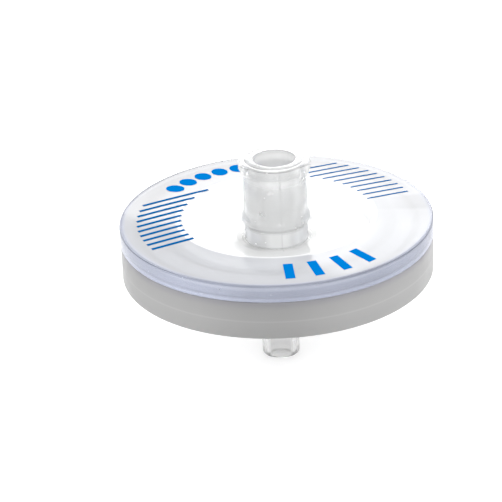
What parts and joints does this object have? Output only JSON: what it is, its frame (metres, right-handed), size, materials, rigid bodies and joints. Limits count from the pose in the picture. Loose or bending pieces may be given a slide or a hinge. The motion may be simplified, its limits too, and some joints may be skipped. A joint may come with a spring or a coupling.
{
  "type": "syringe filter",
  "caption": "Round disc filter for syringes: clear inlet shell with a female luer lock tube, sealed membrane and translucent outlet shell with a tapered male luer.",
  "frame": {"origin": "centre of the outlet tip's end face, on the flow axis", "axes": "+Z along the flow axis from the outlet tip to the inlet mouth; +X through the lock lugs"},
  "size_m": [0.0334, 0.0334, 0.0228],
  "materials": {
    "clear_plastic": "clear moulded plastic with a faint blue tint, polished",
    "membrane": "white microporous sheet, matte",
    "frosted_plastic": "translucent grey-white moulded plastic, satin",
    "print_blue": "pad-printed blue ink, thin and matte"
  },
  "bodies": {
    "root": {"inlet_shell": "clear_plastic", "membrane": "membrane", "outlet_shell": "frosted_plastic"}
  },
  "joints": []
}
